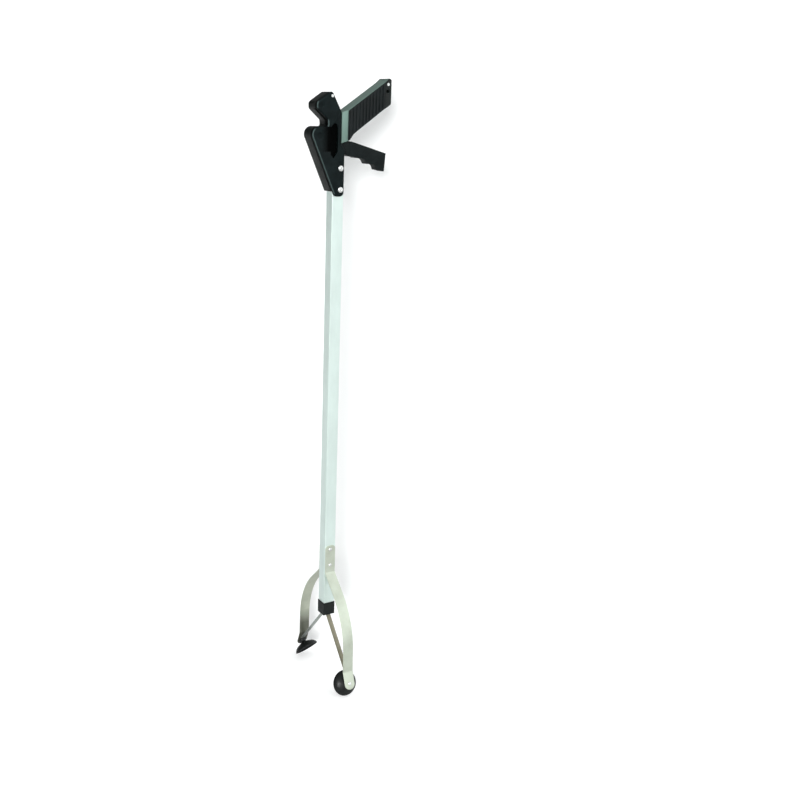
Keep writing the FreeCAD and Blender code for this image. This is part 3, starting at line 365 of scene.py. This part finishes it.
def softened(node, name, material, body, edge=0.35, steps=3, angle=32):
    """The CAD part with its sharp edges rounded as a mould or a press leaves them."""
    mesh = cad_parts[node].data.copy()
    shape = bmesh.new()
    shape.from_mesh(mesh)
    bmesh.ops.remove_doubles(shape, verts=shape.verts, dist=1e-6)
    bmesh.ops.dissolve_limit(shape, angle_limit=math.radians(0.6), verts=shape.verts, edges=shape.edges)
    bmesh.ops.recalc_face_normals(shape, faces=shape.faces)
    shape.to_mesh(mesh)
    shape.free()
    mesh.shade_smooth()
    piece = new_piece(name, mesh, material, None)
    bevel = piece.modifiers.new("edge", "BEVEL")
    bevel.width = edge * MM
    bevel.segments = steps
    bevel.limit_method = "ANGLE"
    bevel.angle_limit = math.radians(angle)
    bevel.harden_normals = False
    bevel.use_clamp_overlap = True
    settle(piece)
    piece.data.set_sharp_from_angle(angle=math.radians(40))
    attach(piece, body)
    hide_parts(node)
    return piece


def lofted(name, rings, uvs=None):
    """A closed mesh over rings of points, with a flat cap at each end."""
    mesh = bpy.data.meshes.new(name)
    count = len(rings[0])
    points = [point for ring in rings for point in ring]
    faces = band_faces(count, len(rings) - 1, len(rings))
    faces.append(tuple(reversed(range(count))))
    faces.append(tuple((len(rings) - 1) * count + index for index in range(count)))
    mesh.from_pydata(points, [], faces)
    if uvs:
        layer = mesh.uv_layers.new(name="along")
        flat = [uv for ring in uvs for uv in ring]
        for loop in mesh.loops:
            layer.data[loop.index].uv = flat[loop.vertex_index]
    shape = bmesh.new()
    shape.from_mesh(mesh)
    return closed(mesh, shape, 50)


def turned(name, profile, base, axis, steps=96):
    """A solid of revolution: profile is (radius, distance along axis) in mm, from the axis out and back."""
    side = axis.orthogonal().normalized()
    other = axis.cross(side)
    mesh = bpy.data.meshes.new(name)
    shape = bmesh.new()
    rows = []
    for radius, along in profile:
        rows.append(ring_of_points(shape, base + axis * along * MM, side, other, radius, steps))
    join_rings(shape, rows, steps)
    return closed(mesh, shape, 42)


def rounded_rectangle(half_width, half_height, radius, steps=4):
    """Points round a rectangle with rounded corners, as (across, through)."""
    points = []
    for corner, (sx, sy) in enumerate(((1, 1), (-1, 1), (-1, -1), (1, -1))):
        for step in range(steps + 1):
            turn = math.radians(90 * corner + 90 * step / steps)
            points.append((sx * (half_width - radius) + radius * math.cos(turn),
                           sy * (half_height - radius) + radius * math.sin(turn)))
    return points


# ---------------------------------------------------------------- steel strip

class StripPath:
    """A path in a finger's plane, in mm out and up; headings in degrees from straight down."""

    def __init__(self, out, height, heading):
        self.points = [(out, height, heading)]
        self.length = [0.0]

    def straight(self, length, step=1.5):
        count = max(1, math.ceil(length / step))
        out, height, heading = self.points[-1]
        turn = math.radians(heading)
        start = self.length[-1]
        for index in range(1, count + 1):
            run = length * index / count
            self.points.append((out + run * math.sin(turn), height - run * math.cos(turn), heading))
            self.length.append(start + run)
        return self

    def bend(self, radius, heading, step=1.5):
        out, height, first = self.points[-1]
        way = 1 if heading > first else -1
        total = radius * math.radians(abs(heading - first))
        count = max(6, math.ceil(total / step))
        start = self.length[-1]
        a = math.radians(first)
        for index in range(1, count + 1):
            now = first + (heading - first) * index / count
            b = math.radians(now)
            self.points.append((out + way * radius * (math.cos(a) - math.cos(b)),
                                height - way * radius * (math.sin(b) - math.sin(a)), now))
            self.length.append(start + total * index / count)
        return self


def resample(path, marks):
    """Points of the path at the given lengths."""
    points = []
    at = 0
    for mark in marks:
        while at < len(path.length) - 2 and path.length[at + 1] < mark:
            at += 1
        first, second = path.length[at], path.length[at + 1]
        share = 0 if second == first else min(1, max(0, (mark - first) / (second - first)))
        points.append(tuple(a + (b - a) * share for a, b in zip(path.points[at], path.points[at + 1])))
    return points


def strip_mesh(name, path, side, width, thickness, start_radius, end_radius, edge=0.18):
    """Sheet strip along a path, its ends rounded in plan and its edges broken."""
    total = path.length[-1]
    marks = set(path.length)
    for radius, origin, way in ((start_radius, 0.0, 1), (end_radius, total, -1)):
        for step in range(13):
            marks.add(origin + way * radius * (1 - math.cos(math.radians(90 * step / 12))))
    marks = sorted(marks)
    marks = [mark for index, mark in enumerate(marks) if index == 0 or mark - marks[index - 1] > 0.02]
    rings, uvs = [], []
    for mark, (out, height, heading) in zip(marks, resample(path, marks)):
        half = width / 2
        for radius, distance in ((start_radius, mark), (end_radius, total - mark)):
            if distance < radius:
                arc = math.sqrt(max(0.0, radius ** 2 - (radius - distance) ** 2))
                half = min(half, width / 2 - radius + arc)
        half = max(half, edge * 1.05)
        turn = math.radians(heading)
        ring, ring_uv = [], []
        for across, through in rounded_rectangle(half, thickness / 2, edge, 3):
            ring.append(Vector((across, side * (out + through * math.cos(turn)),
                                height + through * math.sin(turn))) * MM)
            ring_uv.append((mark * MM, across * MM))
        rings.append(ring)
        uvs.append(ring_uv)
    return lofted(name, rings, uvs)


FINGER_OUT = 8.45
BEND_Z = -592.5
TAB = 40.0
SPLAY = 47.0


def finger_path():
    """From the tab's top down to the toe's end, as the CAD fingers run."""
    knee = 3.0 * math.tan(math.radians(SPLAY / 2))
    kink = 3.0 * math.tan(math.radians(21 / 2))
    path = StripPath(FINGER_OUT, BEND_Z + TAB, 0)
    path.straight(TAB - knee)
    path.bend(3.0, SPLAY, 0.4)
    path.straight(34 - knee, 0.8)
    path.bend(100.0, 1.0)
    path.straight(30 - kink)
    path.bend(3.0, 22.0, 0.4)
    path.straight(24.5 - kink)
    return path


HINGE = (68.395, -726.200)
SLOT = (5.0, -656.0)
TOE = (71.806, -732.372)
TOE_LEAN = 22.0


def on_side(side, out, height):
    return Vector((0, side * out, height)) * MM


def build_finger(name, side):
    mesh = strip_mesh(name + "_finger", finger_path(), side, FINGER_WIDTH, FINGER_THICKNESS, 5.0, 7.4)
    piece = new_piece(name + "_finger", mesh, STEEL if name == "front" else REAR_STEEL, None,
                      (name + "_finger_tab", name + "_finger_blade"))
    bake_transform(piece)
    return piece


def build_strap(name, side):
    heading = math.degrees(math.atan2(HINGE[0] - SLOT[0], SLOT[1] - HINGE[1]))
    reach = math.hypot(HINGE[0] - SLOT[0], SLOT[1] - HINGE[1])
    turn = math.radians(heading)
    path = StripPath(SLOT[0] - 0.5 * math.sin(turn), SLOT[1] + 0.5 * math.cos(turn), heading)
    path.straight(reach)
    path.bend(1.4, TOE_LEAN, 0.15)
    path.straight(9.4)
    mesh = strip_mesh(name + "_strap", path, side, STRAP_WIDTH, STRAP_THICKNESS, 0.3, 3.2, 0.12)
    piece = new_piece(name + "_strap", mesh, STRAP_STEEL[name], None,
                      (name + "_strap_link", name + "_strap_foot"))
    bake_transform(piece)
    return piece


# ---------------------------------------------------------------- suction cups

CUP_PIVOT = 5.4
REAR_CUP_AXIS = Vector((0.194905, -0.679715, -0.707107))
CUP_RINGS = [(1.6, 0.0), (4.9, 0.0), (5.4, 0.2), (5.5, 0.7), (5.3, 1.3), (4.5, 1.95), (3.7, 2.5),
             (3.4, 3.1), (3.6, 3.9), (4.5, 4.5), (5.9, 5.0), (7.8, 5.6), (9.8, 6.4), (12.0, 7.4),
             (13.8, 8.6), (15.3, 10.0), (16.4, 11.4), (17.0, 12.6), (17.4, 13.6), (17.42, 13.95),
             (17.25, 14.18), (16.95, 14.2), (16.6, 14.02), (16.1, 13.3), (15.2, 12.4), (13.8, 11.4),
             (12.2, 10.6), (10.4, 9.8), (8.4, 9.05), (6.4, 8.4), (3.5, 8.05), (0.0, 8.0)]


def cup_mesh(name, base, axis, rest_axis, steps=96):
    """The cup turned round its axis; past its waist it turns over to rest_axis, bending about CUP_PIVOT."""
    mesh = bpy.data.meshes.new(name)
    shape = bmesh.new()
    swing = axis.rotation_difference(rest_axis)
    pivot = base + axis * CUP_PIVOT * MM
    side = Vector((1, 0, 0))
    other = axis.cross(side)
    rows = []
    for radius, along in CUP_RINGS:
        share = min(1.0, max(0.0, (along - 1.0) / 3.2))
        part = Matrix.Identity(3).to_quaternion().slerp(swing, share * share * (3 - 2 * share))
        centre = pivot + part @ (axis * (along - CUP_PIVOT) * MM)
        rows.append(ring_of_points(shape, centre, part @ side, part @ other, radius, steps))
    join_rings(shape, [[shape.verts.new(base)]] + rows, steps)
    return closed(mesh, shape, 50)


def build_cup(name, side):
    lean = math.radians(TOE_LEAN)
    axis = Vector((0, -side * math.cos(lean), -math.sin(lean)))
    base = on_side(side, *TOE) + axis * 1.2 * MM
    nodes = (name + "_suction_cup", name + "_cup_neck")
    limp = name == "rear"
    mesh = cup_mesh(name + "_cup", base, axis, REAR_CUP_AXIS if limp else axis)
    piece = new_piece(name + "_cup", mesh, CUP, None if limp else "front_finger", nodes)
    if limp:
        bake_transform(piece)
    face = on_side(side, *TOE) - axis * 0.5 * MM
    head = [(0.0, 1.15), (0.35, 1.12), (0.75, 0.95), (1.0, 0.98), (1.7, 0.92), (2.3, 0.62), (2.6, 0.18),
            (2.6, 0.0), (1.6, 0.0), (1.6, -2.9), (1.3, -3.1), (0.0, -3.15)]
    mesh = turned(name + "_cup_rivet", head, face, -axis, 48)
    new_piece(name + "_cup_rivet", mesh, FASTENER, name + "_finger", (name + "_cup_rivet",))


# ---------------------------------------------------------------- shaft

def build_shaft():
    low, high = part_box("shaft_tube")
    half = (high.x - low.x) / 2 / MM
    outer = rounded_rectangle(half, half, 0.7, 5)
    inner = rounded_rectangle(half - TUBE_WALL, half - TUBE_WALL, 0.3, 5)
    bands = [low.z + (high.z - low.z) * step / TUBE_BANDS for step in range(TUBE_BANDS)] + [high.z]
    rings = [(inner, low.z)] + [(outer, level) for level in bands] + [(inner, high.z)]
    points = [Vector((x * MM, y * MM, level)) for ring, level in rings for x, y in ring]
    mesh = bpy.data.meshes.new("shaft")
    closed_from_faces(mesh, points, band_faces(len(outer), len(rings), len(rings)), 40)
    new_piece("shaft", mesh, SHAFT, "base", ("shaft_tube",))


# ---------------------------------------------------------------- rivets

def node_group(name, inputs, output):
    """A geometry node group: the names and kinds of its inputs, and the name of what it makes."""
    tree = bpy.data.node_groups.new(name, "GeometryNodeTree")
    for socket, kind in inputs:
        tree.interface.new_socket(socket, in_out="INPUT", socket_type="NodeSocket" + kind)
    tree.interface.new_socket(output, in_out="OUTPUT", socket_type="NodeSocketGeometry")
    return tree


def connect(tree, *lines):
    for start, leaving, end, entering in lines:
        tree.links.new(start.outputs[leaving], end.inputs[entering])


def rivet_tree():
    """Heads placed on a cloud of points, each turned to face its own way."""
    inputs = (("Points", "Geometry"), ("Head", "Object"), ("Head Diameter", "Float"), ("Metal", "Material"))
    tree = node_group("rivet_heads", inputs, "Rivets")
    start = tree.nodes.new("NodeGroupInput")
    end = tree.nodes.new("NodeGroupOutput")
    head = tree.nodes.new("GeometryNodeObjectInfo")
    facing = tree.nodes.new("GeometryNodeInputNamedAttribute")
    facing.data_type = "FLOAT_VECTOR"
    facing.inputs["Name"].default_value = "facing"
    turn = tree.nodes.new("FunctionNodeAlignRotationToVector")
    turn.axis = "Z"
    copies = tree.nodes.new("GeometryNodeInstanceOnPoints")
    real = tree.nodes.new("GeometryNodeRealizeInstances")
    metal = tree.nodes.new("GeometryNodeSetMaterial")
    connect(tree,
            (start, "Points", copies, "Points"),
            (start, "Head", head, "Object"),
            (head, "Geometry", copies, "Instance"),
            (facing, "Attribute", turn, "Vector"),
            (turn, "Rotation", copies, "Rotation"),
            (start, "Head Diameter", copies, "Scale"),
            (copies, "Instances", real, "Geometry"),
            (real, "Geometry", metal, "Geometry"),
            (start, "Metal", metal, "Material"),
            (metal, "Geometry", end, "Rivets"))
    return tree


def set_inputs(modifier, values):
    for item in modifier.node_group.interface.items_tree:
        if item.in_out == "INPUT" and item.name in values:
            modifier[item.identifier] = values[item.name]


def grown(name, mesh, tree, values, stands_for=()):
    """A piece of the base that a node group makes out of a guide mesh."""
    piece = place_in_scene(bpy.data.objects.new(name, mesh))
    maker = piece.modifiers.new("maker", "NODES")
    maker.node_group = tree
    set_inputs(maker, values)
    settle(piece)
    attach(piece, "base")
    if stands_for:
        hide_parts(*stands_for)
    return piece


def rivet_head():
    """A blind rivet's head of unit diameter: domed flange and the snapped pin in its middle."""
    profile = [(0.0, 150), (90, 150), (120, 135), (135, 125), (150, 175), (190, 190), (300, 165),
               (400, 110), (470, 45), (500, 0), (500, -12), (300, -14), (0.0, -14)]
    mesh = turned("rivet_head", profile, Vector(), Vector((0, 0, 1)), 40)
    return bpy.data.objects.new("rivet_head", mesh)


def build_rivets(name, tree, head, diameter, x, out, heights):
    """Pairs of rivets, front and rear, at these heights; out is the face that they sit on."""
    spots = [(x, way * out, z, way) for way in SIDES.values() for z in heights]
    mesh = bpy.data.meshes.new(name)
    mesh.from_pydata([Vector(spot[:3]) * MM for spot in spots], [], [])
    layer = mesh.attributes.new("facing", "FLOAT_VECTOR", "POINT")
    for index, spot in enumerate(spots):
        layer.data[index].vector = (0, spot[3], 0)
    values = {"Head": head, "Head Diameter": diameter * MM, "Metal": FASTENER}
    grown(name, mesh, tree, values, (name,))


# ---------------------------------------------------------------- grip pads

PAD_LEFT, PAD_RIGHT = 10.8, 62.4
PAD_TOP = [(11, 25.3), (62.4, 61.1)]
PAD_BOTTOM = [(10.8, -10.8), (13.3, -10.1), (18.295, -3.02), (24.4, 1.7), (62.4, 29.3)]
RIB_PITCH, RIB_RADIUS, RIB_INSET = 4.7, 0.85, 1.6
FIRST_RIB = 2.2


def height_on(line, x):
    """The height of a line through (x, z) points."""
    for (x1, z1), (x2, z2) in zip(line, line[1:]):
        if x <= x2:
            return z1 + (z2 - z1) * (x - x1) / (x2 - x1)
    return line[-1][1]


def rib_tree():
    """Half-oval bars along every edge of a guide mesh."""
    inputs = (("Guides", "Geometry"), ("Rib Radius", "Float"), ("Rubber", "Material"))
    tree = node_group("grip_ribs", inputs, "Ribs")
    start = tree.nodes.new("NodeGroupInput")
    end = tree.nodes.new("NodeGroupOutput")
    curve = tree.nodes.new("GeometryNodeMeshToCurve")
    ring = tree.nodes.new("GeometryNodeCurvePrimitiveCircle")
    ring.inputs["Resolution"].default_value = 20
    oval = tree.nodes.new("GeometryNodeTransform")
    oval.inputs["Scale"].default_value = (1.0, 2.1, 1.0)
    bars = tree.nodes.new("GeometryNodeCurveToMesh")
    bars.inputs["Fill Caps"].default_value = True
    smooth = tree.nodes.new("GeometryNodeSetShadeSmooth")
    real = tree.nodes.new("GeometryNodeRealizeInstances")
    rubber = tree.nodes.new("GeometryNodeSetMaterial")
    connect(tree,
            (start, "Guides", curve, "Mesh"),
            (start, "Rib Radius", ring, "Radius"),
            (curve, "Curve", bars, "Curve"),
            (ring, "Curve", oval, "Geometry"),
            (oval, "Geometry", bars, "Profile Curve"),
            (bars, "Mesh", smooth, "Geometry"),
            (smooth, "Geometry", real, "Geometry"),
            (real, "Geometry", rubber, "Geometry"),
            (start, "Rubber", rubber, "Material"),
            (rubber, "Geometry", end, "Ribs"))
    return tree


def build_pad(name, side, tree):
    softened(name + "_grip_pad", name + "_grip_pad", GRIP_RUBBER, "base", edge=0.4)
    points, edges = [], []
    count = int((PAD_RIGHT - PAD_LEFT - 2.6) / RIB_PITCH) + 1
    for index in range(count):
        x = PAD_LEFT + FIRST_RIB + RIB_PITCH * index
        edges.append((len(points), len(points) + 1))
        for z in (height_on(PAD_BOTTOM, x) + RIB_INSET, height_on(PAD_TOP, x) - RIB_INSET):
            points.append(Vector((x, side * HOUSING_FACE, z)) * MM)
    mesh = bpy.data.meshes.new(name + "_grip_ribs")
    mesh.from_pydata(points, edges, [])
    values = {"Rib Radius": RIB_RADIUS * MM, "Rubber": GRIP_RUBBER}
    grown(name + "_grip_ribs", mesh, tree, values)


# ---------------------------------------------------------------- build

build_shaft()
for side_name, way in SIDES.items():
    build_finger(side_name, way)
    build_strap(side_name, way)
    build_cup(side_name, way)

for node, material, body, slot, edge, steps in (
        ("nose_cap", CAP, "base", "black_plastic", 0.3, 3),
        ("front_cover_plate", PLATE, "base", "black_plastic", 0.5, 3),
        ("rear_housing_shell", HOUSING, "base", "black_plastic", 1.0, 4),
        ("trigger_lever", TRIGGER, "trigger", "trigger_plastic", 0.7, 3),
        ("grip_channel", GRIP_FRAME, "base", "grip_frame", 0.5, 3),
        ("grip_end_cap", CAP, "base", "black_plastic", 0.7, 3)):
    softened(node, node, material, body, edge, steps)
rib_nodes = rib_tree()
for side_name, way in SIDES.items():
    build_pad(side_name, way, rib_nodes)

rivet_nodes = rivet_tree()
unit_head = rivet_head()
build_rivets("tab_rivets", rivet_nodes, unit_head, TAB_RIVET_HEAD, 0, TAB_FACE, TAB_RIVETS)
build_rivets("housing_rivets", rivet_nodes, unit_head, HOUSING_RIVET_HEAD, HOUSING_RIVET_X, HOUSING_FACE,
             HOUSING_RIVETS)

for material, nodes in ((FASTENER, ("head_rivet", "grip_end_rivet", "trigger_pivot_pin", "rod_pin")),
                        (ROD_STEEL, ("pull_rod", "front_upper_strap", "rear_upper_strap")),
                        (NYLON, ("rod_guide", "strap_yoke"))):
    for node in nodes:
        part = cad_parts[node]
        part.data.materials.clear()
        part.data.materials.append(material)


# ---------------------------------------------------------------- floor, light and camera

def stage_white(name, strength):
    """Matt white that glows a little where it is seen, so that it stays pale and still takes a shadow."""
    finish = Finish(name, (0.86, 0.86, 0.86), 0.9, specular=0.0)
    finish.set("Emission Color", (1, 1, 1, 1))
    path = finish.add("ShaderNodeLightPath")
    glow = finish.add("ShaderNodeMath", operation="MULTIPLY")
    finish.link(path.outputs["Is Camera Ray"], glow.inputs[0])
    glow.inputs[1].default_value = strength
    finish.feed("Emission Strength", glow.outputs["Value"])
    return finish


def stage_sheet(name, corners, material):
    mesh = bpy.data.meshes.new(name)
    mesh.from_pydata(corners, [], [(0, 1, 2, 3)])
    mesh.materials.append(material)
    place_in_scene(bpy.data.objects.new(name, mesh))


def pale_floor(level):
    reach = 30.0
    corners = [(-reach, -reach, level), (reach, -reach, level), (reach, reach, level), (-reach, reach, level)]
    stage_sheet("floor", corners, stage_white("floor_white", 0.42).material)


def backdrop(level, distance):
    """A white wall close behind the tool, seen only from the front, that catches its soft shadow."""
    reach = 12.0
    toward = Vector((-0.539, -0.842, 0.0))
    along = Vector((0.842, -0.539, 0.0)) * reach
    foot = -toward * distance + Vector((0, 0, level))
    top = foot + Vector((0, 0, reach))
    finish = stage_white("backdrop_white", 0.12)
    clear = finish.add("ShaderNodeBsdfTransparent")
    which = finish.add("ShaderNodeNewGeometry")
    path = finish.add("ShaderNodeLightPath")
    shown = finish.add("ShaderNodeMath", operation="SUBTRACT", use_clamp=True)
    finish.link(path.outputs["Is Camera Ray"], shown.inputs[0])
    finish.link(which.outputs["Backfacing"], shown.inputs[1])
    mix = finish.add("ShaderNodeMixShader")
    finish.link(shown.outputs["Value"], mix.inputs["Fac"])
    finish.link(clear.outputs["BSDF"], mix.inputs[1])
    finish.link(finish.shader.outputs["BSDF"], mix.inputs[2])
    finish.link(mix.outputs["Shader"], finish.nodes["Material Output"].inputs["Surface"])
    stage_sheet("backdrop", [foot - along, foot + along, top + along, top - along], finish.material)


def studio_world():
    """White where it is seen; for lighting, a pale room that is darker behind and to the left."""
    world = bpy.data.worlds.new("studio")
    bpy.context.scene.world = world
    world.use_nodes = True
    nodes, links = world.node_tree.nodes, world.node_tree.links
    nodes.clear()
    out = nodes.new("ShaderNodeOutputWorld")
    seen = nodes.new("ShaderNodeBackground")
    seen.inputs["Color"].default_value = (1, 1, 1, 1)
    seen.inputs["Strength"].default_value = 1.1
    where = nodes.new("ShaderNodeTexCoord")
    lean = nodes.new("ShaderNodeVectorMath")
    lean.operation = "DOT_PRODUCT"
    lean.inputs[1].default_value = (0.7, -0.7, 0.15)
    links.new(where.outputs["Generated"], lean.inputs[0])
    room = nodes.new("ShaderNodeMapRange")
    room.inputs["From Min"].default_value = -0.7
    room.inputs["From Max"].default_value = 0.9
    room.inputs["To Min"].default_value = 0.04
    room.inputs["To Max"].default_value = 1.35
    links.new(lean.outputs["Value"], room.inputs["Value"])
    lit = nodes.new("ShaderNodeBackground")
    lit.inputs["Color"].default_value = (0.97, 1.0, 1.0, 1)
    links.new(room.outputs["Result"], lit.inputs["Strength"])
    path = nodes.new("ShaderNodeLightPath")
    mix = nodes.new("ShaderNodeMixShader")
    links.new(path.outputs["Is Camera Ray"], mix.inputs["Fac"])
    links.new(lit.outputs["Background"], mix.inputs[1])
    links.new(seen.outputs["Background"], mix.inputs[2])
    links.new(mix.outputs["Shader"], out.inputs["Surface"])


def aim(item, target):
    item.rotation_euler = (Vector(target) - item.location).to_track_quat("-Z", "Y").to_euler()


def softbox(name, place, target, width, height, power):
    light = bpy.data.lights.new(name, "AREA")
    light.shape = "RECTANGLE"
    light.size = width
    light.size_y = height
    light.energy = power
    item = place_in_scene(bpy.data.objects.new(name, light))
    item.location = place
    aim(item, target)


def window_sun(name, towards, strength, softness):
    light = bpy.data.lights.new(name, "SUN")
    light.energy = strength
    light.angle = math.radians(softness)
    item = place_in_scene(bpy.data.objects.new(name, light))
    item.location = -Vector(towards)
    aim(item, (0, 0, 0))


def set_camera():
    lens = bpy.data.cameras.new("camera")
    lens.sensor_width = 36.0
    lens.lens = 46.67
    lens.clip_end = 100.0
    camera = place_in_scene(bpy.data.objects.new("camera", lens))
    heading, pitch, roll = math.radians(32.63), math.radians(-14.86), math.radians(2.24)
    level = Vector((math.sin(heading), math.cos(heading), 0))
    forward = level * math.cos(pitch) + Vector((0, 0, math.sin(pitch)))
    right = Vector((math.cos(heading), -math.sin(heading), 0))
    up = right.cross(forward)
    right, up = right * math.cos(roll) + up * math.sin(roll), up * math.cos(roll) - right * math.sin(roll)
    turn = Matrix((right, up, -forward)).transposed().to_4x4()
    camera.matrix_world = Matrix.Translation((-0.6419, -1.1742, 0.0108)) @ turn
    bpy.context.scene.camera = camera


bpy.context.scene.view_settings.view_transform = "Standard"
floor_level = cad_box[0][2] - 0.2 * MM
pale_floor(floor_level)
backdrop(floor_level, 0.1)
studio_world()
window_sun("window", (0.64, 0.80, -0.24), 2.0, 24.0)
softbox("left_box", (-2.2, 0.1, 0.5), (0, 0, -0.3), 1.2, 1.8, 4.0)
set_camera()
